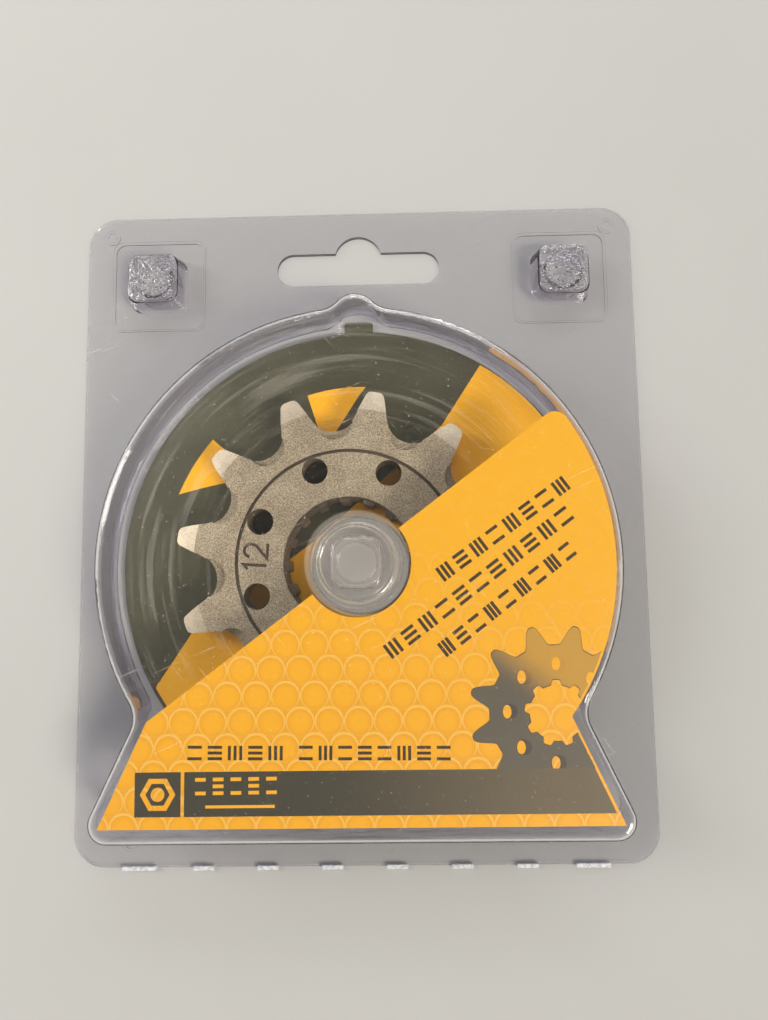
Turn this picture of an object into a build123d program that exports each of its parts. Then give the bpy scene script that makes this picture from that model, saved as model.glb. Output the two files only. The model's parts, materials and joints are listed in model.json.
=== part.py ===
from build123d import *
import math
import os

# A 12-tooth motorcycle front sprocket in its hinged, clear retail pack.
# Millimetres. The pack lies on its back: +Z is out of the pack's face, +Y is towards the
# hang slot, and the origin is in the middle of the back, on the surface that it lies on.

# ---- driving dimensions ----
# pack
pack_width = 112
pack_length = 130
corner_radius = 6
sheet = 0.5                  # wall of the thermoformed plastic
gap = 0.05                   # air between sheets that lie on each other
hub_y = -8                   # hub, dome and cards are centred here
# dome
dome_height = 17.7           # top of the dome above the table
dome_radius = 49.3           # where the dome meets its flange
dome_draft = 7.4             # degrees
neck_y = -34.5               # where the round dome runs into the flared skirt
skirt_foot_x = 52.6
skirt_foot_y = -58.2
skirt_corner_radius = 5.5
dome_edge_radius = 1.6
bump_radius = 6.6            # bump at the top of the dome, over the card's tab
bump_y = 37.3
wall_blend_radius = 3.0      # where the bump and the neck turn inwards
dome_foot_radius = 0.7       # blend from the flange up into the wall
# hang slot
slot_y = 53.1
slot_length = 33.4
slot_height = 6.8
slot_bump_radius = 4.9
slot_bump_top_y = 60
# snap buttons in the two upper corners
button_x = 41.2
button_y = 50.3
socket_foot = 12             # side of the lid's rounded square
socket_top = 6.0
socket_draft = 11
socket_edge = 1.0             # fillet round the socket's top
pad_side = 19.2
pad_corner_radius = 2
pad_rise = 0.25
stud_radius = 4.5            # round stud on the back shell
stud_top = 5.2
stud_draft = 8
stud_edge = 0.8
# moulded rings near the corners
ring_marks = ((-51.1, 61.0), (51.1, 61.0), (-45.0, -60.5))
mark_radius = 1.6
mark_width = 0.6
mark_rise = 0.2
# hub
hub_radius = 9.2             # foot of the conical boss on the lid
hub_cone_top_radius = 6.75
hub_cone_top = 19.1
hub_cone_edge = 0.8
hub_square = 9.2
hub_top = 20.0
hub_square_edge = 0.7
column_radius = 8.6
column_top = 16.4
column_draft = 3.6
column_edge = 0.9
shoulder_radius = 5.0
shoulder_top = 17.8
nose_radius = 3.8
nose_edge = 0.6
nose_top = 19.0
# printed cards
card = 0.35
back_card_radius = 47.4
front_card_radius = 45.7
card_neck = (37.1, -35.2)    # where the front card's round side meets its flared foot
card_foot = (45.4, -53.3)
card_foot_radius = 3
diagonal_end = (35.0, 18.6)  # upper end of the diagonal edge, which starts at the left neck
card_tip_radius = 2.5
card_tab_width = 5.8
card_tab_top_y = 41.75
card_tab_corner = 0.8
card_tab_length = 10
card_column_clearance = 0.6
card_hub_clearance = 0.4
# sprocket for a 15.875 mm pitch chain with 10.16 mm rollers
chain_pitch = 15.875
roller_diameter = 10.16
teeth = 12
tip_radius = 33.4
plate_thickness = 5.9
boss_height = 1.2
boss_radius = 17
spline_count = 16
spline_major_radius = 12.2
spline_minor_radius = 11.35
hole_count = 8
hole_radius = 2.5
hole_circle_radius = 18.5
sprocket_offset = (-2.1, 0.6)    # the loose sprocket rests off centre on its hub
seat_half_angle = 62         # degrees of roller seat on each side of a gullet's middle
flank_end = (33.0, 7.5)      # where the tooth flank passes the tip circle
past_tip_x = 38
tip_fillet = 1.2
bevel_start_radius = 29.5    # both faces slope from here to the tips
bevel_drop = 1.4
scallop_radius = 3.66        # pocket at each roller seat, open to the front face
scallop_centre_radius = 27.2
scallop_depth = 2.0
face_groove_radius = 21.3    # thin turned groove in the front face
face_groove_width = 0.65
face_groove_depth = 0.35
bore_chamfer = 0.3
spline_foot_width = 3.1      # spline grooves narrow outwards
spline_top_width = 2.0
gullet_turn = 5.5            # degrees from +X to the first gullet, hole, spline groove and stamp
hole_turn = 20
spline_turn = 14.25
stamp_turn = 176
stamp_radius = 17.7
stamp_height = 4.4
stamp_stroke = 0.55
stamp_depth = 0.25
# fold along the bottom edge
fold_bead_radius = 0.45
fold_y = -65.5
web_count = 8
web_spacing = 12.4
web_length = 4.0
end_web_length = 6.5

# ---- derived sizes ----
back_top = sheet
flange_bottom = back_top + gap
flange_top = flange_bottom + sheet
back_card_bottom = back_top + gap
back_card_top = back_card_bottom + card
boss_bottom = back_card_top + gap
plate_bottom = boss_bottom + boss_height
plate_top = plate_bottom + plate_thickness
front_card_top = dome_height - sheet - gap
sprocket_x = sprocket_offset[0]
sprocket_y = hub_y + sprocket_offset[1]
pitch_radius = chain_pitch / (2 * math.sin(math.pi / teeth))
seat_radius = 0.505 * roller_diameter
hub_cone_height = hub_cone_top - dome_height + sheet
hub_cone_draft = math.degrees(math.atan((hub_radius - hub_cone_top_radius) / hub_cone_height))

os.makedirs("parts", exist_ok=True)


def save(builder, label):
    """Label a finished piece and write it as its own STEP file."""
    builder.part.label = label
    export_step(builder.part, f"parts/{label}.step")


# ---- outlines that the two shells share ----
def flange_outline():
    """Rounded rectangle of the pack with its hang slot cut out."""
    with BuildSketch() as outline:
        RectangleRounded(pack_width, pack_length, corner_radius)
        with Locations((0, slot_y)):
            SlotOverall(slot_length, slot_height, mode=Mode.SUBTRACT)
        with Locations((0, slot_bump_top_y - slot_bump_radius)):
            Circle(slot_bump_radius, mode=Mode.SUBTRACT)
    return outline.sketch


def dome_outline(inset):
    """Foot of the round dome with its flared skirt and top bump, moved in by inset."""
    neck_x = math.sqrt(dome_radius**2 - (neck_y - hub_y) ** 2)
    with BuildSketch() as outline:
        with BuildLine():
            ThreePointArc((neck_x, neck_y), (0, hub_y + dome_radius), (-neck_x, neck_y))
            Polyline(
                (-neck_x, neck_y),
                (-skirt_foot_x, skirt_foot_y),
                (skirt_foot_x, skirt_foot_y),
                (neck_x, neck_y),
            )
        make_face()
        fillet(outline.vertices().group_by(Axis.Y)[0], skirt_corner_radius)
        with Locations((0, bump_y)):
            Circle(bump_radius)
        inward_corners = outline.vertices().filter_by(
            lambda corner: corner.Y > bump_y or abs(corner.Y - neck_y) < 0.1
        )
        fillet(inward_corners, wall_blend_radius)
        if inset > 0:
            offset(amount=-inset, mode=Mode.REPLACE)
    return outline.sketch


def rounded_square(side):
    """Rounded square with corners a quarter of its side."""
    with BuildSketch() as outline:
        RectangleRounded(side, side, side / 4)
    return outline.sketch


def disc(radius):
    with BuildSketch() as outline:
        Circle(radius)
    return outline.sketch


button_places = ((-button_x, button_y), (button_x, button_y))

# ---- back shell: flat sheet, hub column through the bore and two snap studs ----
# each step of the column: radius, foot, top, draft in degrees, fillet round its top
column_steps = (
    (column_radius, 0, column_top, column_draft, column_edge),
    (shoulder_radius, column_top - sheet, shoulder_top, 0, nose_edge),
    (nose_radius, shoulder_top - sheet, nose_top, 0, nose_edge),
)


def top_edges(builder):
    """Edges round the highest face of a part in the making."""
    return builder.faces().sort_by(Axis.Z)[-1].edges()


with BuildPart() as back_shell:
    with BuildSketch(Plane.XY):
        add(flange_outline())
    extrude(amount=sheet)
    for inset, mode in ((0, Mode.ADD), (sheet, Mode.SUBTRACT)):
        for radius, foot, top, draft, edge in column_steps:
            with BuildPart(mode=Mode.PRIVATE) as step:
                with BuildSketch(Plane.XY.offset(foot)):
                    with Locations((0, hub_y)):
                        Circle(radius - inset)
                extrude(amount=top - inset - foot, taper=draft)
                fillet(top_edges(step), edge - inset)
            add(step.part, mode=mode)
        with BuildPart(mode=Mode.PRIVATE) as stud:
            with BuildSketch(Plane.XY):
                Circle(stud_radius - inset)
            extrude(amount=stud_top - inset, taper=stud_draft)
            fillet(top_edges(stud), stud_edge - inset)
        with Locations(*button_places):
            add(stud.part, mode=mode)
save(back_shell, "back_shell")

# ---- front shell: flange, dome, hub boss, snap sockets ----
def dome_foot(inset):
    """Broad plate round the dome's outline, for the blend at its foot."""
    with BuildSketch() as outline:
        add(dome_outline(inset))
        offset(amount=3, mode=Mode.REPLACE)
    return outline.sketch


def dome_body(inset, edge_radius, plate_top):
    """The dome as one solid with rounded edges; it stands on a plate whose top is at plate_top."""
    with BuildPart() as body:
        with BuildSketch(Plane.XY.offset(flange_bottom)):
            add(dome_outline(inset))
        extrude(amount=dome_height - inset - flange_bottom, taper=dome_draft)
        fillet(top_edges(body), edge_radius)
        with BuildSketch(Plane.XY.offset(plate_top - sheet)):
            add(dome_foot(inset))
        extrude(amount=sheet)
        level = body.faces().filter_by(Axis.Z)
        level = level.filter_by_position(Axis.Z, plate_top - 0.01, plate_top + 0.01)
        fillet(level[0].inner_wires()[0].edges(), dome_foot_radius)
    return body.part


dome_outside = dome_body(0, dome_edge_radius, flange_top)
dome_inside = dome_body(sheet, dome_edge_radius - sheet, flange_bottom)

with BuildPart() as front_shell:
    with BuildSketch(Plane.XY.offset(flange_bottom)):
        add(flange_outline())
    extrude(amount=sheet)
    for inset, mode, dome in ((0, Mode.ADD, dome_outside), (sheet, Mode.SUBTRACT, dome_inside)):
        # shallow square pads, each with a drafted snap socket on it
        with BuildSketch(Plane.XY.offset(flange_bottom)):
            with Locations(*button_places):
                RectangleRounded(pad_side - 2 * inset, pad_side - 2 * inset, pad_corner_radius)
        extrude(amount=sheet + pad_rise - inset, mode=mode)
        with BuildPart(mode=Mode.PRIVATE) as socket:
            with BuildSketch(Plane.XY.offset(flange_bottom)):
                add(rounded_square(socket_foot - 2 * inset))
            extrude(amount=socket_top - inset - flange_bottom, taper=socket_draft)
            fillet(top_edges(socket), socket_edge - inset)
        with Locations(*button_places):
            add(socket.part, mode=mode)
        # the dome, then the cone and the rounded square that stand over the hub column
        add(dome, mode=mode)
        hub_steps = (
            (disc(hub_radius - inset), hub_cone_top, hub_cone_draft, hub_cone_edge),
            (rounded_square(hub_square - 2 * inset), hub_top, 0, hub_square_edge),
        )
        step_foot = dome_height - sheet - inset
        for outline, top, draft, edge in hub_steps:
            with BuildPart(mode=Mode.PRIVATE) as step:
                with BuildSketch(Plane.XY.offset(step_foot)):
                    with Locations((0, hub_y)):
                        add(outline)
                extrude(amount=top - inset - step_foot, taper=draft)
                fillet(top_edges(step), edge - inset)
            add(step.part, mode=mode)
    # small moulded rings near three corners
    with BuildSketch(Plane.XY.offset(flange_top)):
        with Locations(*ring_marks):
            Circle(mark_radius)
            Circle(mark_radius - mark_width, mode=Mode.SUBTRACT)
    extrude(amount=mark_rise)
save(front_shell, "front_shell")

# ---- living hinge: short webs of folded plastic along the bottom edge ----
with BuildPart() as living_hinge:
    for i in range(web_count):
        length = end_web_length if i in (0, web_count - 1) else web_length
        middle = (i - (web_count - 1) / 2) * web_spacing
        with BuildSketch(Plane.YZ.offset(middle - length / 2)):
            with Locations((fold_y, back_top + gap / 2)):
                Circle(fold_bead_radius)
        extrude(amount=length)
save(living_hinge, "living_hinge")

# ---- back card: dark disc with a locating tab, under the sprocket ----
with BuildPart() as back_card:
    with BuildSketch(Plane.XY.offset(back_card_bottom)) as back_card_outline:
        with Locations((0, hub_y)):
            Circle(back_card_radius)
        with Locations((0, card_tab_top_y - card_tab_length / 2)):
            Rectangle(card_tab_width, card_tab_length)
        fillet(back_card_outline.vertices().group_by(Axis.Y)[-1], card_tab_corner)
        with Locations((0, hub_y)):
            Circle(column_radius + card_column_clearance, mode=Mode.SUBTRACT)
    extrude(amount=card)
save(back_card, "back_card")

# ---- front card: behind the dome's face, cut on a diagonal ----
with BuildPart() as front_card:
    with BuildSketch(Plane.XY.offset(front_card_top - card)) as front_card_outline:
        top_angle = math.degrees(math.atan2(diagonal_end[1] - hub_y, diagonal_end[0]))
        neck_angle = math.degrees(math.atan2(card_neck[1] - hub_y, card_neck[0]))
        with BuildLine():
            side = CenterArc((0, hub_y), front_card_radius, top_angle, neck_angle - top_angle)
            Polyline(
                side @ 1,
                card_foot,
                (-card_foot[0], card_foot[1]),
                (-card_neck[0], card_neck[1]),
                side @ 0,
            )
        make_face()
        corners = front_card_outline.vertices().sort_by(Axis.Y)
        fillet(corners[-1], card_tip_radius)
        fillet(corners[:2], card_foot_radius)
        with Locations((0, hub_y)):
            Circle(hub_radius + card_hub_clearance, mode=Mode.SUBTRACT)
    extrude(amount=card)
save(front_card, "front_card")

# ---- sprocket ----
# outline between two teeth along +X: roller seat and two flanks, open past the tooth tips
with BuildSketch() as gullet:
    flank_x = math.sin(math.radians(seat_half_angle))
    flank_y = math.cos(math.radians(seat_half_angle))
    with BuildLine():
        seat = CenterArc((pitch_radius, 0), seat_radius, 180 - seat_half_angle, 2 * seat_half_angle)
        TangentArc(seat @ 0, flank_end, tangent=(flank_x, flank_y))
        TangentArc(seat @ 1, (flank_end[0], -flank_end[1]), tangent=(flank_x, -flank_y))
        Polyline(
            flank_end,
            (past_tip_x, flank_end[1]),
            (past_tip_x, -flank_end[1]),
            (flank_end[0], -flank_end[1]),
        )
    make_face()

# splined hole: grooves that narrow outwards, between the minor and the major circle
with BuildSketch() as spline_groove:
    with BuildLine():
        Polyline(
            (spline_minor_radius - 1, spline_foot_width / 2),
            (spline_major_radius + 1, spline_top_width / 2),
            (spline_major_radius + 1, -spline_top_width / 2),
            (spline_minor_radius - 1, -spline_foot_width / 2),
            close=True,
        )
    make_face()

with BuildSketch() as spline_bore:
    with PolarLocations(0, spline_count, start_angle=spline_turn):
        add(spline_groove.sketch)
    Circle(spline_major_radius, mode=Mode.INTERSECT)
    Circle(spline_minor_radius)

# the tooth count in single strokes
with BuildSketch() as stamp:
    h = stamp_height
    with BuildLine():
        Polyline((-0.57 * h, 0.30 * h), (-0.37 * h, 0.5 * h), (-0.37 * h, -0.5 * h))
        bowl = ThreePointArc((-0.04 * h, 0.26 * h), (0.25 * h, 0.5 * h), (0.53 * h, 0.22 * h))
        Polyline(bowl @ 1, (0.46 * h, 0.0), (-0.06 * h, -0.5 * h), (0.58 * h, -0.5 * h))
    trace(line_width=stamp_stroke)

sprocket_axis = Axis((sprocket_x, sprocket_y, 0), (0, 0, 1))
sprocket_section = Plane((sprocket_x, sprocket_y, 0), x_dir=(1, 0, 0), z_dir=(0, -1, 0))


def sprocket_plane(height):
    """Plane across the sprocket's own axis."""
    return Plane((sprocket_x, sprocket_y, height))


with BuildPart() as sprocket:
    with BuildSketch(sprocket_plane(plate_bottom)):
        Circle(tip_radius)
        with PolarLocations(0, teeth, start_angle=gullet_turn):
            add(gullet.sketch, mode=Mode.SUBTRACT)
    extrude(amount=plate_thickness)
    tip_edges = sprocket.edges().filter_by(Axis.Z).filter_by(
        lambda edge: (edge.center() - Vector(sprocket_x, sprocket_y, edge.center().Z)).length
        > tip_radius - 0.1
    )
    fillet(tip_edges, tip_fillet)
    # both faces of the teeth are bevelled towards the tips
    with BuildSketch(sprocket_section):
        slope = bevel_drop / (tip_radius - bevel_start_radius)
        outer = tip_radius + 1
        drop = slope * (outer - bevel_start_radius)
        for face_z, side in ((plate_top, -1), (plate_bottom, 1)):
            with BuildLine():
                Polyline(
                    (bevel_start_radius, face_z),
                    (outer, face_z),
                    (outer, face_z + side * drop),
                    close=True,
                )
            make_face()
    revolve(axis=sprocket_axis, mode=Mode.SUBTRACT)
    # rear boss
    with BuildSketch(sprocket_plane(boss_bottom)):
        Circle(boss_radius)
    extrude(amount=boss_height)
    # pockets behind the roller seats
    with BuildSketch(sprocket_plane(plate_top)):
        with PolarLocations(scallop_centre_radius, teeth, start_angle=gullet_turn):
            Circle(scallop_radius)
    extrude(amount=-scallop_depth, mode=Mode.SUBTRACT)
    # turned groove
    with BuildSketch(sprocket_plane(plate_top)):
        Circle(face_groove_radius + face_groove_width / 2)
        Circle(face_groove_radius - face_groove_width / 2, mode=Mode.SUBTRACT)
    extrude(amount=-face_groove_depth, mode=Mode.SUBTRACT)
    # splined bore with a chamfer at each end
    with BuildSketch(sprocket_plane(boss_bottom)):
        add(spline_bore.sketch)
    extrude(amount=plate_top - boss_bottom, mode=Mode.SUBTRACT)
    with BuildSketch(sprocket_section):
        for face_z, side in ((plate_top, -1), (boss_bottom, 1)):
            with BuildLine():
                Polyline(
                    (0, face_z),
                    (spline_major_radius + bore_chamfer, face_z),
                    (spline_major_radius, face_z + side * bore_chamfer),
                    (0, face_z + side * bore_chamfer),
                    close=True,
                )
            make_face()
    revolve(axis=sprocket_axis, mode=Mode.SUBTRACT)
    # lightening holes
    with BuildSketch(sprocket_plane(boss_bottom)):
        with PolarLocations(hole_circle_radius, hole_count, start_angle=hole_turn):
            Circle(hole_radius)
    extrude(amount=plate_top - boss_bottom, mode=Mode.SUBTRACT)
    # stamped tooth count
    stamp_direction = Vector(1, 0, 0).rotate(Axis.Z, stamp_turn)
    stamp_centre = Vector(sprocket_x, sprocket_y, plate_top) + stamp_direction * stamp_radius
    with BuildSketch(Plane(stamp_centre, x_dir=stamp_direction.rotate(Axis.Z, -90))):
        add(stamp.sketch)
    extrude(amount=-stamp_depth, mode=Mode.SUBTRACT)
save(sprocket, "sprocket")
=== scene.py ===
import json
import math
import random

import bpy
import bmesh
from mathutils import Matrix, Vector


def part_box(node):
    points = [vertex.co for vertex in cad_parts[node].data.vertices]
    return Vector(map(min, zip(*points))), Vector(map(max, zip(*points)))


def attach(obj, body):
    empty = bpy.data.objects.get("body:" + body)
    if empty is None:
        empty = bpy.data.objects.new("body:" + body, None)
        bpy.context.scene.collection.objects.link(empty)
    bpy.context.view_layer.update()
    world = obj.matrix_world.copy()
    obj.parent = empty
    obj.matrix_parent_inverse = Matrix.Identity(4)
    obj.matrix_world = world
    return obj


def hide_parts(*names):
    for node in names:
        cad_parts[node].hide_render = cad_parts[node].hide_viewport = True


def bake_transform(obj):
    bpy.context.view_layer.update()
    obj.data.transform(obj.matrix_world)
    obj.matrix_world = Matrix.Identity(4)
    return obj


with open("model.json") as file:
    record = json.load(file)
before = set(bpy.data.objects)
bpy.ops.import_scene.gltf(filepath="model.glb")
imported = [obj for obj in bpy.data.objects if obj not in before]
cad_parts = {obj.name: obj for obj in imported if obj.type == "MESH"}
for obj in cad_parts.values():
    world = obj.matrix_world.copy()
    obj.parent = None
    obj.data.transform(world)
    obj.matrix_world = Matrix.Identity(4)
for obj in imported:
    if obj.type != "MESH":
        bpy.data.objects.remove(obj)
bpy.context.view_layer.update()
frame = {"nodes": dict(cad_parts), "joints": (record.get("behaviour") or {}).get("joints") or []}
nodes = frame["nodes"]
MM = 0.001

# ---- places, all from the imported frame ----
joints = {j["name"]: j for j in frame["joints"]}
axis_x, axis_y, _ = [c / MM for c in joints["sprocket_spin"]["pos_m"]]
fold_y, fold_z = [c / MM for c in joints["lid_hinge"]["pos_m"][1:]]
front_card_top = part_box("front_card")[1].z / MM
back_low, back_high = [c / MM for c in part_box("back_card")]
gear_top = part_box("sprocket")[1].z / MM
HUB_Y = back_low.y + (back_high.x - back_low.x) / 2    # middle of the round card

# ---- sizes in mm that the looks share ----
PRINT = 0.012                # thickness of a printed layer
TIP_START, TIP_FULL = 28.5, 32.5    # radii between which the sprocket's teeth become rubbed
BEVEL_START = 29.5           # radius where the teeth start to bevel
GULLET_START = 24.0          # radius past which upright faces are the walls of gullets
GROOVE_OUTSIDE = 22.6        # outside radius of the turned groove
HOLES_OUTSIDE = 22.0         # radius within which upright faces are the walls of holes and bore
BUTTON_Y = 50.3              # how far up the pack the snap buttons are
BUTTON_HALF = 6.0            # half of the area round a snap button
DOME_FACE = 14.5             # height above which the plastic is the dome's face
HUB_FACE = 16.9              # height above which the plastic is the hub's face
HUB_RADIUS = 9.6             # of the hub, whose face gets a painted pale reflection
RING_MARKS = (39.0, 46.2)    # radii between which the dome has ring marks
RING_RATE = 4.6              # ring marks, in radians per mm
EDGE_SLOPE, EDGE_Y = 0.746, -7.5    # the front card's slanted top edge: y = slope * x + this
DISC_PITCH = 5.1             # between the middles of the printed discs
DISC_SHADE = -0.18           # how far up the card the discs' shading is moved
FLOOR_GAP = 0.1              # the floor lies this far under the pack


# ---- node helpers ----
class Graph:
    """A material's node tree, with short calls for the nodes used here."""

    def __init__(self, name):
        self.material = bpy.data.materials.new(name)
        self.material.use_nodes = True
        self.tree = self.material.node_tree
        self.tree.nodes.clear()
        self.out = self.tree.nodes.new("ShaderNodeOutputMaterial")

    def put(self, socket, value):
        if isinstance(value, bpy.types.NodeSocket):
            self.tree.links.new(value, socket)
        elif isinstance(value, tuple) and socket.type == "RGBA" and len(value) == 3:
            socket.default_value = (*value, 1)
        else:
            socket.default_value = value

    def add(self, kind, inputs=None, **settings):
        made = self.tree.nodes.new(kind)
        for key, value in settings.items():
            setattr(made, key, value)
        for key, value in (inputs or {}).items():
            self.put(made.inputs[key], value)
        return made

    def math(self, operation, a, b=0.0, c=0.0, clamp=False):
        inputs = {0: a, 1: b, 2: c}
        return self.add("ShaderNodeMath", inputs, operation=operation, use_clamp=clamp).outputs[0]

    def step(self, value, low, high, to_low=0.0, to_high=1.0):
        """Smooth step of value from low to high."""
        inputs = {"Value": value, "From Min": low, "From Max": high, "To Min": to_low, "To Max": to_high}
        made = self.add("ShaderNodeMapRange", inputs, interpolation_type="SMOOTHSTEP")
        return made.outputs["Result"]

    def mix(self, share, a, b):
        made = self.add("ShaderNodeMix", data_type="RGBA")
        self.put(made.inputs[0], share)
        self.put(made.inputs[6], a)
        self.put(made.inputs[7], b)
        return made.outputs[2]

    def position(self):
        """Object coordinates in mm: the piece's own place at rest."""
        place = self.add("ShaderNodeTexCoord").outputs["Object"]
        scaled = self.add("ShaderNodeVectorMath", {0: place, 3: 1 / MM}, operation="SCALE")
        return scaled.outputs[0]

    def split(self, vector):
        return self.add("ShaderNodeSeparateXYZ", {0: vector}).outputs

    def noise(self, vector, size, detail=3.0, rough=0.5):
        """Noise with features about size mm across."""
        inputs = {"Vector": vector, "Scale": 1 / size, "Detail": detail, "Roughness": rough}
        return self.add("ShaderNodeTexNoise", inputs).outputs[0]

    def stretched(self, vector, scale, turn=0.0):
        inputs = {"Vector": vector, "Scale": scale, "Rotation": (0, 0, math.radians(turn))}
        return self.add("ShaderNodeMapping", inputs, vector_type="TEXTURE").outputs[0]

    def bump(self, height, depth):
        """Bump where a height of 1 stands depth mm proud."""
        inputs = {"Height": height, "Distance": depth * MM, "Strength": 1.0}
        return self.add("ShaderNodeBump", inputs).outputs[0]

    def distance(self, xyz, x, y):
        """Distance in mm from the upright line through x, y."""
        off_x = self.math("SUBTRACT", xyz["X"], x)
        off_y = self.math("SUBTRACT", xyz["Y"], y)
        square = self.math("ADD", self.math("MULTIPLY", off_x, off_x), self.math("MULTIPLY", off_y, off_y))
        return self.math("SQRT", square)

    def facing_up(self):
        """1 on faces whose own normal points up at rest, 0 elsewhere."""
        normal = self.add("ShaderNodeTexCoord").outputs["Normal"]
        return self.step(self.split(normal)["Z"], 0.4, 0.6)

    def flat_face(self):
        """1 on faces that lie level at rest, 0 on walls."""
        normal = self.add("ShaderNodeTexCoord").outputs["Normal"]
        return self.step(self.math("ABSOLUTE", self.split(normal)["Z"]), 0.75, 0.92)

    def finish(self, shader):
        self.tree.links.new(shader, self.out.inputs["Surface"])
        return self.material


# ---- materials ----
def steel_material():
    """Blasted, lightly oiled steel: fine grain, warm mottling, paler rubbed tips, a painted highlight on
    the bevelled tips and the gullets' walls, and painted shade in the groove and on the walls of the holes
    and bore.
    """
    g = Graph("sprocket_steel")
    place = g.position()
    xyz = g.split(place)
    radius = g.distance(xyz, axis_x, axis_y)
    cloud = g.noise(place, 5.0, 4.0, 0.6)
    grain = g.noise(place, 0.30, 4.0, 0.7)
    base = g.mix(g.step(cloud, 0.35, 0.65), (0.42, 0.342, 0.228), (0.54, 0.45, 0.308))
    base = g.mix(g.step(grain, 0.36, 0.66), g.mix(0.75, base, (0.11, 0.085, 0.055)), base)
    fleck = g.step(g.noise(place, 0.24, 2.0), 0.64, 0.72)
    base = g.mix(g.math("MULTIPLY", fleck, 0.5), base, (0.86, 0.77, 0.6))
    rubbed = g.math("MULTIPLY", g.step(radius, TIP_START, TIP_FULL), g.step(cloud, 0.2, 0.55), clamp=True)
    base = g.mix(g.math("MULTIPLY", rubbed, 0.45), base, (0.62, 0.53, 0.40))
    # painted highlight: the bevelled tips and the gullets' walls are painted paler, as if lit
    bevel = g.math("MULTIPLY", g.step(radius, BEVEL_START - 0.1, BEVEL_START + 0.1), 0.22)
    upright = g.math("SUBTRACT", 1.0, g.facing_up())
    gullet_wall_highlight = g.math("MULTIPLY", g.step(radius, GULLET_START, GULLET_START + 0.6), upright)
    base = g.mix(g.math("MAXIMUM", bevel, g.math("MULTIPLY", gullet_wall_highlight, 0.55)), base, (0.74, 0.64, 0.49))
    # painted shade: the turned groove, and at half strength the upright walls of the holes and bore, are
    # painted dark as shade in these hollows
    inside = g.step(radius, GROOVE_OUTSIDE, GROOVE_OUTSIDE - 0.4)
    below = g.step(xyz["Z"], gear_top - 0.08, gear_top - 0.2)
    above = g.step(xyz["Z"], gear_top - 0.6, gear_top - 0.5)
    groove_shade = g.math("MULTIPLY", g.math("MULTIPLY", inside, below), above, clamp=True)
    walls = g.math("MULTIPLY", g.step(radius, HOLES_OUTSIDE, HOLES_OUTSIDE - 0.6), upright)
    dark = g.math("MAXIMUM", groove_shade, g.math("MULTIPLY", walls, 0.5))
    base = g.mix(g.math("MULTIPLY", dark, 0.9), base, (0.05, 0.032, 0.02))
    rough = g.step(grain, 0.2, 0.8, 0.42, 0.62)
    height = g.math("ADD", g.math("MULTIPLY", grain, 0.7), g.math("MULTIPLY", g.noise(place, 0.9), 0.6))
    shader = g.add("ShaderNodeBsdfPrincipled", {
        "Base Color": base, "Roughness": rough, "Metallic": 0.45, "Normal": g.bump(height, 0.05)})
    return g.finish(shader.outputs[0])


def scratches(g, place):
    """Fine scratches in two directions, in patches."""
    rub = g.noise(g.stretched(place, (14.0, 0.35, 3.0), 24), 1.0, 2.0)
    cross = g.noise(g.stretched(place, (10.0, 0.3, 3.0), -51), 1.0, 2.0)
    scratch = g.math("MAXIMUM", g.step(rub, 0.66, 0.72), g.step(cross, 0.68, 0.74))
    return g.math("MULTIPLY", scratch, g.step(g.noise(place, 12.0, 3.0), 0.5, 0.7))


def snap_buttons(g, xyz):
    """1 on the tops of the snap buttons, and 1 on their walls."""
    past_dome = g.step(xyz["Y"], BUTTON_Y - BUTTON_HALF, BUTTON_Y - BUTTON_HALF + 1)
    on_button = g.math("MULTIPLY", g.step(xyz["Z"], 1.6, 2.4), past_dome)
    level = g.flat_face()
    top = g.math("MULTIPLY", on_button, level)
    wall = g.math("MULTIPLY", on_button, g.math("SUBTRACT", 1.0, level))
    return top, wall


def ring_marks(g, radius):
    """Faint rings where the sheet cooled against the mould."""
    inner, outer = RING_MARKS
    zone = g.math("MULTIPLY", g.step(radius, inner, inner + 2), g.step(radius, outer, outer - 1))
    return g.math("MULTIPLY", g.math("SINE", g.math("MULTIPLY", radius, RING_RATE)), zone)


def dome_reflection_streaks(g, place, xyz, radius):
    """Painted reflection: streaks drawn round the dome, over the open half that no card lies behind."""
    flat = g.add("ShaderNodeVectorMath", {0: place, 1: (0.0, -HUB_Y, 0.0)}).outputs[0]
    flat = g.add("ShaderNodeVectorMath", {0: flat, 1: (1, 1, 0)}, operation="MULTIPLY").outputs[0]
    turn = g.add("ShaderNodeVectorMath", {0: flat}, operation="NORMALIZE").outputs[0]
    turn = g.add("ShaderNodeVectorMath", {0: turn, 3: 1.6}, operation="SCALE").outputs[0]
    rise = g.add("ShaderNodeCombineXYZ", {2: radius}).outputs[0]
    round_place = g.add("ShaderNodeVectorMath", {0: turn, 1: rise}).outputs[0]
    streak = g.step(g.noise(round_place, 1.1, 3.0, 0.55), 0.48, 0.72)
    above_edge = g.math("SUBTRACT", xyz["Y"], g.math("MULTIPLY_ADD", xyz["X"], EDGE_SLOPE, EDGE_Y))
    on_dome = g.step(xyz["Z"], DOME_FACE, DOME_FACE + 2)
    open_half = g.math("MULTIPLY", g.step(above_edge, -1.0, 5.0), on_dome)
    return g.math("MULTIPLY", g.math("MULTIPLY", streak, open_half), g.step(radius, 12.0, 40.0))


def hub_reflection_haze(g, xyz, radius):
    """Painted reflection: a pale milky layer over the thin sheet on the hub's face, less in its middle."""
    on_hub = g.step(radius, HUB_RADIUS, HUB_RADIUS - 0.6)
    milky = g.math("MULTIPLY", on_hub, g.step(xyz["Z"], HUB_FACE, HUB_FACE + 0.6))
    return g.math("MULTIPLY", milky, g.step(radius, 5.2, 7.4, 0.6, 1.0))


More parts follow.
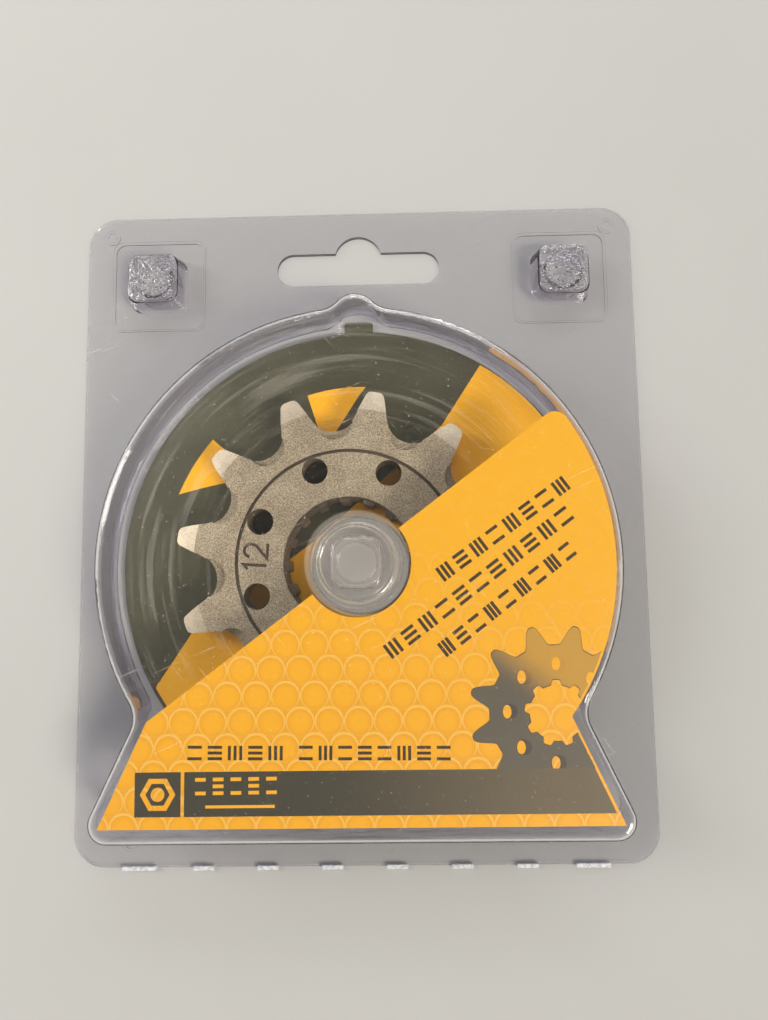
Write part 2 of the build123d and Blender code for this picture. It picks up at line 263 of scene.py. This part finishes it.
def plastic_material(name, tint, wall_tint, haze):
    """Clear thermoformed sheet: glass to the eye, see-through to lamps, with rubs, scratches and dust
    specks, a painted reflection over the dome's open half and the hub, and painted shade on the snap
    buttons' walls.
    """
    g = Graph(name)
    place = g.position()
    xyz = g.split(place)
    radius = g.distance(xyz, 0.0, HUB_Y)
    scratch = scratches(g, place)
    button_top, button_wall = snap_buttons(g, xyz)
    pebble = g.math("MULTIPLY", g.step(g.noise(place, 1.0, 1.5, 0.5), 0.34, 0.66), button_top)
    rough = g.math("ADD", haze, g.math("MULTIPLY", scratch, 0.2))
    height = g.math("SUBTRACT", g.noise(place, 9.0, 2.0), g.math("MULTIPLY", scratch, 0.07))
    height = g.math("ADD", height, g.math("MULTIPLY", pebble, 1.3))
    height = g.math("ADD", height, g.math("MULTIPLY", ring_marks(g, radius), 0.05))
    edge = g.add("ShaderNodeLayerWeight", {"Blend": 0.35}).outputs["Facing"]
    colour = g.mix(g.step(edge, 0.2, 0.9), tint, wall_tint)
    # painted shade: the snap buttons' walls get a darker violet tint than the rest of the sheet
    colour = g.mix(g.math("MULTIPLY", button_wall, 0.5), colour, (0.46, 0.42, 0.50))
    glass = g.add("ShaderNodeBsdfPrincipled", {
        "Base Color": colour, "Roughness": rough, "IOR": 1.5, "Transmission Weight": 1.0,
        "Normal": g.bump(height, 0.12)}).outputs[0]
    # one pale diffuse layer: real scratches and dust specks, and the painted reflections of the dome's
    # streaks and the hub
    dust_and_reflection = g.add("ShaderNodeBsdfDiffuse", {"Color": (0.82, 0.76, 0.66)}).outputs[0]
    speck = g.step(g.noise(place, 0.45, 1.0), 0.74, 0.78)
    specks_and_reflection_share = g.math("MAXIMUM", g.math("MULTIPLY", scratch, 0.16), g.math("MULTIPLY", speck, 0.38))
    specks_and_reflection_share = g.math("MAXIMUM", specks_and_reflection_share, g.math("MULTIPLY", dome_reflection_streaks(g, place, xyz, radius), 0.07))
    specks_and_reflection_share = g.math("MAXIMUM", specks_and_reflection_share, g.math("MULTIPLY", hub_reflection_haze(g, xyz, radius), 0.12))
    body = g.add("ShaderNodeMixShader", {0: g.math("ADD", specks_and_reflection_share, 0.004), 1: glass, 2: dust_and_reflection}).outputs[0]
    open_way = g.add("ShaderNodeBsdfTransparent", {"Color": colour}).outputs[0]
    path = g.add("ShaderNodeLightPath").outputs
    lamp_ray = g.math("MAXIMUM", path["Is Shadow Ray"], path["Is Diffuse Ray"])
    shader = g.add("ShaderNodeMixShader", {0: lamp_ray, 1: body, 2: open_way})
    return g.finish(shader.outputs[0])


def board(g, place, colour, gloss=0.34):
    """Coated board: print on top, pale fibres on its cut edges and underside."""
    fibre = g.noise(g.stretched(place, (1.0, 0.25, 1.0), 15), 0.5, 3.0)
    mottle = g.noise(place, 0.35, 2.0)
    paper = g.mix(fibre, (0.46, 0.42, 0.35), (0.64, 0.60, 0.52))
    inked = g.mix(g.math("MULTIPLY", mottle, 0.12), colour, (0.25, 0.2, 0.15))
    base = g.mix(g.facing_up(), paper, inked)
    rough = g.math("ADD", g.math("MULTIPLY", mottle, 0.12), gloss)
    shader = g.add("ShaderNodeBsdfPrincipled", {
        "Base Color": base, "Roughness": rough, "Normal": g.bump(fibre, 0.012)})
    return g.finish(shader.outputs[0])


def nearest_centre(g, place, pitch, shift):
    """Distance in mm to the nearest middle of discs packed six round one, shift mm up the card."""
    cell = (pitch, pitch * math.sqrt(3), 1000.0)
    low = tuple(-c / 2 for c in cell)
    high = tuple(c / 2 for c in cell)
    near = []
    for share in (0.0, 0.5):
        offset = (share * cell[0], share * cell[1] - shift, 0.0)
        moved = g.add("ShaderNodeVectorMath", {0: place, 1: offset}).outputs[0]
        wrapped = g.add("ShaderNodeVectorMath", {0: moved, 1: high, 2: low}, operation="WRAP").outputs[0]
        flat = g.add("ShaderNodeVectorMath", {0: wrapped, 1: (1, 1, 0)}, operation="MULTIPLY").outputs[0]
        near.append(g.add("ShaderNodeVectorMath", {0: flat}, operation="LENGTH").outputs["Value"])
    return g.math("MINIMUM", near[0], near[1])


def front_card_material():
    g = Graph("front_card_print")
    place = g.position()
    xyz = g.split(place)
    disc = nearest_centre(g, place, DISC_PITCH, 0.0)
    sunk = nearest_centre(g, place, DISC_PITCH, DISC_SHADE)
    # each cell has a pale rim over its top, which thins out down its sides
    rim = g.math("MULTIPLY", g.step(disc, 2.60, 2.46), g.step(sunk, 2.18, 2.44))
    # the pattern is strongest on the left and near the foot
    fade = g.step(g.math("ADD", xyz["Y"], g.math("MULTIPLY", xyz["X"], 0.35)), 8.0, -34.0)
    base = g.mix(g.step(xyz["Y"], 8.0, -52.0), (0.95, 0.46, 0.004), (0.93, 0.43, 0.003))
    shade = g.math("MULTIPLY", g.step(sunk, 1.2, 2.4), g.math("MULTIPLY", fade, 0.20))
    base = g.mix(shade, base, (0.55, 0.16, 0.003))
    strength = g.math("ADD", g.math("MULTIPLY", fade, 0.50), 0.06)
    base = g.mix(g.math("MULTIPLY", rim, strength), base, (0.98, 0.66, 0.16))
    return board(g, place, base)


def ink_material(name, colour, second=None, along=None):
    """Printed ink. With a second colour it runs to it between two values of y + slope * x; along holds
    the two values and the slope."""
    g = Graph(name)
    place = g.position()
    speck = g.noise(place, 0.3, 2.0)
    base = colour
    if second is not None:
        low, high, slope = along
        way = g.math("ADD", g.split(place)["Y"], g.math("MULTIPLY", g.split(place)["X"], slope))
        base = g.mix(g.step(way, low, high), colour, second)
    base = g.mix(g.math("MULTIPLY", speck, 0.14), base, (0.22, 0.18, 0.14))
    shader = g.add("ShaderNodeBsdfPrincipled", {
        "Base Color": base, "Roughness": g.math("ADD", g.math("MULTIPLY", speck, 0.15), 0.3),
        "Normal": g.bump(speck, 0.006)})
    return g.finish(shader.outputs[0])


def back_card_material():
    g = Graph("back_card_print")
    place = g.position()
    cloud = g.noise(place, 14.0, 3.0)
    base = g.mix(g.step(cloud, 0.3, 0.7), (0.034, 0.035, 0.016), (0.052, 0.052, 0.027))
    return board(g, place, base, 0.3)


def floor_material():
    g = Graph("studio_floor")
    place = g.position()
    base = g.mix(g.noise(place, 60.0, 4.0), (0.425, 0.425, 0.42), (0.46, 0.46, 0.455))
    shader = g.add("ShaderNodeBsdfPrincipled", {
        "Base Color": base, "Roughness": 0.75, "Normal": g.bump(g.noise(place, 1.2), 0.02)})
    return g.finish(shader.outputs[0])


def film_material():
    """Plastic film gone milky where it has been folded."""
    g = Graph("fold_film")
    place = g.position()
    milk = g.step(g.noise(place, 0.8, 3.0), 0.3, 0.7, 0.35, 0.75)
    white = g.add("ShaderNodeBsdfPrincipled", {"Base Color": (0.86, 0.87, 0.90), "Roughness": 0.35})
    clear_part = g.add("ShaderNodeBsdfTransparent", {"Color": (0.92, 0.92, 0.95)})
    shader = g.add("ShaderNodeMixShader", {0: milk, 1: clear_part.outputs[0], 2: white.outputs[0]})
    return g.finish(shader.outputs[0])


def set_material(piece, material):
    """Every face of the piece gets this material."""
    if not piece.material_slots:
        piece.data.materials.append(material)
    for slot in piece.material_slots:
        slot.material = material


# ---- materials on the CAD pieces ----
clear = plastic_material("clear_plastic", (0.970, 0.970, 0.976), (0.40, 0.36, 0.50), 0.02)
set_material(nodes["sprocket"], steel_material())
set_material(nodes["front_shell"], clear)
set_material(nodes["back_shell"], clear)
set_material(nodes["front_card"], front_card_material())
set_material(nodes["back_card"], back_card_material())

# ---- inks ----
BAND_REFLECTION = (-150.0, 330.0, 10.0)    # painted reflection: from dark to paler along y + 10 x
GEAR_FADE = (-9.0, 1.0, 0.8)         # from dark to orange along y + 0.8 x
ink_dark = ink_material("ink_dark", (0.036, 0.019, 0.004))
# the band's ink runs to a paler painted reflection towards the right
ink_band_and_reflection = ink_material("ink_band_and_reflection", (0.036, 0.034, 0.020), (0.125, 0.098, 0.055), BAND_REFLECTION)
ink_orange = ink_material("ink_orange", (0.97, 0.46, 0.004))
ink_brown = ink_material("ink_brown", (0.10, 0.055, 0.02))
ink_gear = ink_material("ink_gear", (0.100, 0.088, 0.062), (0.56, 0.30, 0.035), GEAR_FADE)
ink_gear_light = ink_material("ink_gear_light", (0.055, 0.045, 0.032), (0.56, 0.27, 0.03), GEAR_FADE)


# ---- printed shapes: thin flat layers cut to their outlines ----
def slab(name, loops, low, high):
    """A solid between two heights in mm. Loops inside other loops are holes."""
    curve = bpy.data.curves.new(name, "CURVE")
    curve.dimensions = "2D"
    curve.fill_mode = "BOTH"
    curve.extrude = (high - low) / 2 * MM
    for loop in loops:
        spline = curve.splines.new("POLY")
        spline.points.add(len(loop) - 1)
        for point, (x, y) in zip(spline.points, loop):
            point.co = (x * MM, y * MM, 0, 1)
        spline.use_cyclic_u = True
    shape = bpy.data.objects.new(name + "_outline", curve)
    bpy.context.scene.collection.objects.link(shape)
    bpy.context.view_layer.update()
    mesh = bpy.data.meshes.new_from_object(shape)
    bpy.data.objects.remove(shape)
    mesh.name = name
    mesh.transform(Matrix.Translation((0, 0, (low + high) / 2 * MM)))
    work = bmesh.new()
    work.from_mesh(mesh)
    bmesh.ops.remove_doubles(work, verts=work.verts, dist=1e-6)
    bmesh.ops.recalc_face_normals(work, faces=work.faces)
    work.to_mesh(mesh)
    work.free()
    mesh.materials.clear()
    piece = bpy.data.objects.new(name, mesh)
    bpy.context.scene.collection.objects.link(piece)
    return piece


LIMIT_HEIGHTS = (-5, 30)     # the cutter reaches well past every print


def keep_inside(piece, limit):
    """Cuts the piece to the part of it that lies inside the limit's loops."""
    cutter = slab(piece.name + "_limit", limit, *LIMIT_HEIGHTS)
    cut = piece.modifiers.new("limit", "BOOLEAN")
    cut.operation = "INTERSECT"
    cut.solver = "EXACT"
    cut.object = cutter
    mesh = bpy.data.meshes.new_from_object(piece.evaluated_get(bpy.context.evaluated_depsgraph_get()))
    piece.modifiers.clear()
    piece.data = mesh
    bpy.data.objects.remove(cutter)


def printed(name, loops, low, material, body, limit):
    """A layer of print on a card."""
    piece = slab(name, loops, low, low + PRINT)
    if limit is not None:
        bpy.context.view_layer.update()
        keep_inside(piece, limit)
    set_material(piece, material)
    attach(piece, body)
    return piece


def on_front(name, loops, material, layer=0, limit=None):
    """Print on the front card; each layer lies on the one below."""
    low = front_card_top + layer * PRINT
    return printed(name, loops, low, material, "lid", limit)


def on_back(name, loops, material, limit=None):
    """Print on the back card."""
    return printed(name, loops, back_high.z, material, "card", limit)


def arc(centre, radius, start, end, count):
    """Points on an arc, angles in degrees, ends included."""
    turns = [math.radians(start + (end - start) * i / (count - 1)) for i in range(count)]
    return [(centre[0] + radius * math.cos(t), centre[1] + radius * math.sin(t)) for t in turns]


def tapered(centre, inner, outer, start, end, count=24):
    """Part of a ring that narrows to a point on its outer edge at the start."""
    points = []
    for i in range(count):
        turn = math.radians(start + (end - start) * i / (count - 1))
        radius = outer - (outer - inner) * math.sin(math.pi / 2 * i / (count - 1))
        points.append((centre[0] + radius * math.cos(turn), centre[1] + radius * math.sin(turn)))
    return points + arc(centre, outer, end, start, count)[:-1]


def box_loop(x0, y0, x1, y1):
    return [(x0, y0), (x1, y0), (x1, y1), (x0, y1)]


STROKE, LETTER_GAP = 0.21, 0.42     # shares of a mark's height


def word(start, end, height, count, seed):
    """A greeked word: count letter-sized marks that say nothing, from start to end."""
    draw = random.Random(seed)
    start, end = Vector(start), Vector(end)
    along = (end - start).normalized()
    up = Vector((-along.y, along.x))
    cell = (end - start).length / count
    stroke = height * STROKE
    loops = []
    last = None
    for i in range(count):
        x0, x1 = i * cell, (i + 1) * cell - height * LETTER_GAP
        kind = draw.choice([k for k in range(3) if k != last])
        last = kind
        if kind == 0:
            parts = [(x0, y, x1, y + stroke) for y in (0, height - stroke)]
        elif kind == 1:
            parts = [(x, 0, x + stroke, height) for x in (x0, (x0 + x1 - stroke) / 2, x1 - stroke)]
        else:
            parts = [(x0, y, x1, y + stroke) for y in (0, (height - stroke) / 2, height - stroke)]
        for part in parts:
            loops.append([tuple(start + along * x + up * y) for x, y in box_loop(*part)])
    return loops


def gear_loop(centre, root, tip, teeth, turn, land=0.03, foot=0.37, steps=24):
    """Outline of a plain drawn gear. Land and foot are shares of the pitch, from a tooth's middle."""
    points = []
    for i in range(teeth * steps):
        aside = abs((i / steps + 0.5) % 1 - 0.5)
        down = min(max((aside - land) / (foot - land), 0), 1)
        radius = tip - (tip - root) * down * down * (3 - 2 * down)
        place = 2 * math.pi * i / (teeth * steps) + math.radians(turn)
        points.append((centre[0] + radius * math.cos(place), centre[1] + radius * math.sin(place)))
    return points


def ring_points(centre, radius, count, turn):
    """Middles of count places round a circle."""
    return arc(centre, radius, turn, turn + 360 * (count - 1) / count, count)


def circle(centre, radius, count=32):
    return arc(centre, radius, 0, 360 * (count - 1) / count, count)


# ---- outlines that the prints stay within, 0.4 mm inside the cards' edges ----
CARD_RADIUS = 45.3
NECK = (36.7, -35.2)
FOOT = (44.6, -52.9)
BACK_RADIUS = 47.0
HUB_HOLE = 9.7
PAST = 60.0                  # well past the cards' edges
neck_turn = math.degrees(math.atan2(NECK[1] - HUB_Y, NECK[0]))
front_outline = [(-FOOT[0], FOOT[1]), FOOT] + arc((0, HUB_Y), CARD_RADIUS, neck_turn, 90, 40)
front_outline += [(-PAST, 30), (-NECK[0], NECK[1])]
front_limit = [front_outline]
back_limit = [circle((0, HUB_Y), BACK_RADIUS, 96), circle((0, HUB_Y), HUB_HOLE, 48)]

# ---- front card: three slanted lines, a title, a dark band with a plain hexagon mark ----
WORD_LINES = (
    ((15.4, -11.6), (39.2, 5.3), 8),
    ((6.0, -24.9), (39.6, 0.0), 11),
    ((15.5, -24.7), (39.8, -6.3), 9),
)
SLANTED_HEIGHT, TITLE_HEIGHT, BAND_WORD_HEIGHT = 2.8, 2.45, 2.9
marks = []
for i, (start, end, count) in enumerate(WORD_LINES):
    marks += word(start, end, SLANTED_HEIGHT, count, 11 + i)
on_front("print_slanted_words", marks, ink_dark)
title = word((-29.8, -41.7), (-12.2, -41.9), TITLE_HEIGHT, 5, 21)
title += word((-10.4, -41.9), (16.8, -42.2), TITLE_HEIGHT, 8, 22)
on_front("print_title", title, ink_dark)

BAND_TOP, BAND_LOW = -43.7, -51.2
MARK_LEFT, MARK_RIGHT = -38.9, -30.9
BAND_LEFT = MARK_RIGHT + 0.6
NUT, NUT_INSIDE, NUT_HOLE = 3.1, 2.1, 1.2    # radii of the hexagon mark
mark_middle = ((MARK_LEFT + MARK_RIGHT) / 2, (BAND_TOP + BAND_LOW) / 2)
on_front("print_band", [box_loop(BAND_LEFT, BAND_LOW, PAST, BAND_TOP)], ink_band_and_reflection, 1, front_limit)
hexagon_mark = [box_loop(MARK_LEFT, BAND_LOW, MARK_RIGHT, BAND_TOP)]
hexagon_mark += [circle(mark_middle, NUT, 6), circle(mark_middle, NUT_INSIDE, 6)]
hexagon_mark.append(circle(mark_middle, NUT_HOLE, 24))
on_front("print_hexagon_mark", hexagon_mark, ink_band_and_reflection, 1)
band_words = word((-28.4, -47.6), (-13.0, -47.5), BAND_WORD_HEIGHT, 5, 31)
band_words.append(box_loop(-26.6, -49.8, -14.6, -49.3))    # a line under them
on_front("print_band_words", band_words, ink_orange, 2)

# ---- front card: the drawn gear ----
GEAR_AT, GEAR_ROOT, GEAR_TIP, GEAR_TEETH, GEAR_TURN = (34.3, -34.4), 11.7, 15.2, 12, 15.6
BORE_ROOT, BORE_TIP, BORE_TEETH, BORE_TURN = 4.7, 5.6, 9, 10
BORE_LAND, BORE_FOOT = 0.14, 0.30
HOLE_COUNT, HOLE_TURN = 8, 43
HOLE_RING, HOLE, HOLE_SLIT, HOLE_WALL = 8.4, 1.15, 0.75, 1.35
SLIT_ASIDE, WALL_ASIDE = -0.2, 0.25    # sideways places of a hole's opening and of its wall
LINE = 0.16                  # width of drawn outlines


def bore(grow):
    root, tip = BORE_ROOT + grow, BORE_TIP + grow
    return gear_loop(GEAR_AT, root, tip, BORE_TEETH, BORE_TURN, BORE_LAND, BORE_FOOT)


def rim_of_gear(grow):
    return gear_loop(GEAR_AT, GEAR_ROOT + grow, GEAR_TIP + grow, GEAR_TEETH, GEAR_TURN)


def slit(middle):
    """The opening of a drawn hole, seen at a slant."""
    return [(middle[0] + (x - middle[0]) * HOLE_SLIT / HOLE, y) for x, y in circle(middle, HOLE, 24)]


band_end = (BAND_TOP - FOOT[1]) / (NECK[1] - FOOT[1])
gear_outline = [(0, BAND_TOP), (FOOT[0] + (NECK[0] - FOOT[0]) * band_end, BAND_TOP)]
gear_outline += arc((0, HUB_Y), CARD_RADIUS, neck_turn, 60, 24) + [(0, 0)]
gear_limit = [gear_outline]
gear_holes = ring_points(GEAR_AT, HOLE_RING, HOLE_COUNT, HOLE_TURN)
slits = [slit((x + SLIT_ASIDE, y)) for x, y in gear_holes]
on_front("print_gear", [rim_of_gear(0), bore(0)] + slits, ink_gear, 0, gear_limit)
lines = [rim_of_gear(0), rim_of_gear(-LINE), bore(LINE), bore(0)]
on_front("print_gear_outline", lines, ink_brown, 1, gear_limit)
walls = slits + [circle((x + WALL_ASIDE, y), HOLE_WALL, 24) for x, y in gear_holes]
on_front("print_gear_rims", walls, ink_gear_light, 1, gear_limit)

# ---- back card: a broad slanting band and parts of a ring ----
sweep = [(16.5, 20.0), (25.0, 33.0), (31.0, 42.0), (PAST, 42.0), (PAST, -20.0), (-23.5, -32.5)]
sweep += [(-26.5, -PAST), (-PAST, -PAST), (-33.5, -20.5), (-8.0, -2.0)]
on_back("print_sweep", [sweep], ink_orange, back_limit)
arcs = [tapered((0, HUB_Y), 26.0, 36.2, 88, 107), tapered((0, HUB_Y), 29.5, 39.5, 158, 139)]
on_back("print_ring_parts", arcs, ink_orange, back_limit)

# ---- fold along the bottom edge: short webs of film from sheet to sheet, whitened where they bend ----
FILM = 0.16                               # thickness
BACK_MIDDLE, LID_MIDDLE = 0.25, 0.80      # middles of the two sheets, mm above the table
WEB_COUNT, WEB_STEP, WEB_LENGTH, END_WEB_LENGTH = 8, 12.4, 4.0, 6.5
WEB_PARTS = 4                             # faces along each web
SHEET_EDGE_IN = 0.55                      # how far the film reaches in from the fold axis


def fold_line():
    """Points (y, z) of the film from the back's sheet round the fold to the lid's."""
    bend = (LID_MIDDLE - BACK_MIDDLE) / 2
    line = [(fold_y + SHEET_EDGE_IN * (1 - i / 3), BACK_MIDDLE) for i in range(3)]
    line += arc((fold_y, fold_z), bend, 270, 90, 15)
    return line + [(fold_y + SHEET_EDGE_IN * (i + 1) / 3, LID_MIDDLE) for i in range(3)]


def fold_mesh():
    """The middle surface of every web."""
    film = bmesh.new()
    line = fold_line()
    for i in range(WEB_COUNT):
        length = END_WEB_LENGTH if i in (0, WEB_COUNT - 1) else WEB_LENGTH
        middle = (i - (WEB_COUNT - 1) / 2) * WEB_STEP
        xs = [middle - length / 2 + length * k / WEB_PARTS for k in range(WEB_PARTS + 1)]
        rows = [[film.verts.new((x * MM, y * MM, z * MM)) for x in xs] for y, z in line]
        for low, high in zip(rows, rows[1:]):
            for k in range(WEB_PARTS):
                film.faces.new((low[k], low[k + 1], high[k + 1], high[k]))
    mesh = bpy.data.meshes.new("fold_film")
    film.to_mesh(mesh)
    film.free()
    return mesh


fold_film = bpy.data.objects.new("fold_film", fold_mesh())
bpy.context.scene.collection.objects.link(fold_film)
thick = fold_film.modifiers.new("thickness", "SOLIDIFY")
thick.thickness = FILM * MM
thick.offset = 0
bpy.context.view_layer.update()
thickened = fold_film.evaluated_get(bpy.context.evaluated_depsgraph_get())
fold_film.data = bpy.data.meshes.new_from_object(thickened)
fold_film.modifiers.clear()
set_material(fold_film, film_material())
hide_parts("living_hinge")
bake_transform(fold_film)

# ---- camera: over the pack, a little to the right of its middle and towards its foot ----
LENS, SENSOR = 27.0706, 36              # mm
CAMERA_MM = (7.77, -12.9, 153.23)
CAMERA_TURN = (-5.97, -1.19, 0.98)      # degrees about x, y and z
CLIP = (0.005, 10)                      # m
camera = bpy.data.objects.new("camera", bpy.data.cameras.new("camera"))
bpy.context.scene.collection.objects.link(camera)
rx, ry, rz = [math.radians(a) for a in CAMERA_TURN]
world_to_camera = Matrix.Rotation(rz, 4, "Z") @ Matrix.Rotation(ry, 4, "Y") @ Matrix.Rotation(rx, 4, "X")
camera.matrix_world = Matrix.Translation(Vector(CAMERA_MM) * MM) @ world_to_camera.transposed()
camera.data.sensor_width = SENSOR
camera.data.lens = LENS
camera.data.clip_start, camera.data.clip_end = CLIP
bpy.context.scene.camera = camera


# ---- light ----
def lamp(name, place, size, power, colour):
    """A rectangular lamp that points at the middle of the pack."""
    light = bpy.data.lights.new(name, "AREA")
    light.shape = "RECTANGLE"
    light.size, light.size_y = size
    light.energy = power
    light.color = colour
    made = bpy.data.objects.new(name, light)
    bpy.context.scene.collection.objects.link(made)
    made.location = place
    made.rotation_euler = (-Vector(place)).to_track_quat("-Z", "Y").to_euler()


SUN_DIRECTION = (-0.46, 0.36, -0.62)
sun = bpy.data.lights.new("key_light", "SUN")
sun.energy = 2.35
sun.angle = math.radians(20)
sun.color = (1, 0.93, 0.80)
key = bpy.data.objects.new("key_light", sun)
bpy.context.scene.collection.objects.link(key)
key.rotation_euler = Vector(SUN_DIRECTION).to_track_quat("-Z", "Y").to_euler()
lamp("left_light", (-0.50, 0.16, 0.36), (0.16, 0.34), 1.8, (1, 0.97, 0.93))
lamp("back_light", (0.10, 0.60, 0.42), (0.45, 0.12), 1.2, (0.95, 0.97, 1))

# pale all round and dimmer overhead, so that flat plastic doesn't mirror a white ceiling
SKY_DIMMER = {"From Min": 0.70, "From Max": 0.93, "To Min": 0.78, "To Max": 0.11}
world = bpy.data.worlds.new("studio")
bpy.context.scene.world = world
world.use_nodes = True
sky = world.node_tree.nodes["Background"]
sky.inputs[0].default_value = (0.90, 0.89, 0.86, 1)
way = world.node_tree.nodes.new("ShaderNodeTexCoord")
apart = world.node_tree.nodes.new("ShaderNodeSeparateXYZ")
dimmer = world.node_tree.nodes.new("ShaderNodeMapRange")
for socket, value in SKY_DIMMER.items():
    dimmer.inputs[socket].default_value = value
world.node_tree.links.new(way.outputs["Generated"], apart.inputs[0])
world.node_tree.links.new(apart.outputs["Z"], dimmer.inputs[0])
world.node_tree.links.new(dimmer.outputs[0], sky.inputs[1])
bpy.context.scene.view_settings.view_transform = "Standard"

# ---- floor ----
FLOOR_SIZE = 3               # half of its width, m
floor_mesh = bpy.data.meshes.new("floor")
plan = bmesh.new()
bmesh.ops.create_grid(plan, x_segments=2, y_segments=2, size=FLOOR_SIZE)
plan.to_mesh(floor_mesh)
plan.free()
floor = bpy.data.objects.new("floor", floor_mesh)
bpy.context.scene.collection.objects.link(floor)
floor.location.z = -FLOOR_GAP * MM
set_material(floor, floor_material())
